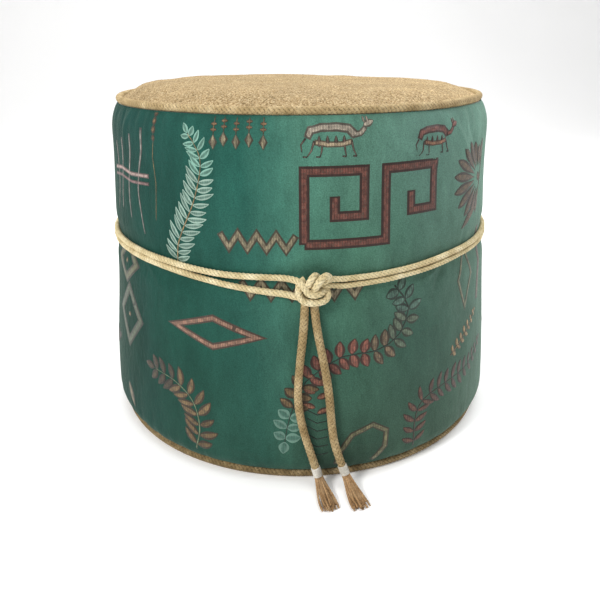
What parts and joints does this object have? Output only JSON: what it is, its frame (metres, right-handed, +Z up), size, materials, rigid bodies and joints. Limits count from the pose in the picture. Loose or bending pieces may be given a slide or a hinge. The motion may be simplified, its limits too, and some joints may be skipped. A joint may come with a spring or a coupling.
{
  "type": "upholstered pouf",
  "caption": "Round floor pouf with a padded top, patterned velvet side, piped seams, a rope belt knotted at the front and a zipped base cover.",
  "frame": {"origin": "on the floor at the middle of the base, measured without the knot and the rope tails", "axes": "+Z up, the pouf's own axis; the rope knot faces -Y; +X runs along the zip in the base, towards its open end"},
  "size_m": [0.4726, 0.5173, 0.3862],
  "materials": {
    "velvet": "soft sheen",
    "boucle": "matte",
    "piping": "matte",
    "jute_piping": "matte",
    "base_canvas": "matte",
    "zip_tape": "matte",
    "zip_teeth": "satin",
    "zip_metal": "satin",
    "liner": "matte",
    "wadding": "matte",
    "foam": "matte",
    "rope": "matte",
    "rope_aged": "matte",
    "whipping": "satin",
    "tassel": "matte"
  },
  "bodies": {
    "pouf": {"side_panel": "velvet", "top_panel": "boucle", "top_piping": "piping", "base_piping": "jute_piping", "base_panel_front": "base_canvas", "base_panel_rear": "base_canvas", "zip_tape_front": "zip_tape", "zip_tape_rear": "zip_tape", "zip_teeth_front": "zip_teeth", "zip_teeth_rear": "zip_teeth", "zip_top_stops": "zip_metal", "zip_bottom_stop": "zip_metal", "liner_side": "liner", "liner_top": "liner", "liner_base": "liner", "wadding_wrap": "wadding", "base_foam_pad": "foam", "foam_core": "foam", "top_foam_pad": "foam", "belt_rope_upper": "rope", "belt_rope_lower": "rope", "belt_knot": "rope", "tail_left": "rope_aged", "tail_right": "rope_aged", "whipping_left": "whipping", "whipping_right": "whipping", "tassel_left": "tassel", "tassel_right": "tassel"},
    "zip_slider": {"zip_slider": "zip_metal"},
    "zip_pull": {"zip_pull": "zip_metal"}
  },
  "joints": [
    {"name": "zip_slide", "type": "slide", "parent": "pouf", "child": "zip_slider", "axis": [1, 0, 0], "range_m": [0, 0.316]},
    {"name": "zip_pull_swing", "type": "hinge", "parent": "zip_slider", "child": "zip_pull", "pos_m": [-0.158, 0, 0.0017], "axis": [0, 1, 0], "range_deg": [0, 150]}
  ]
}
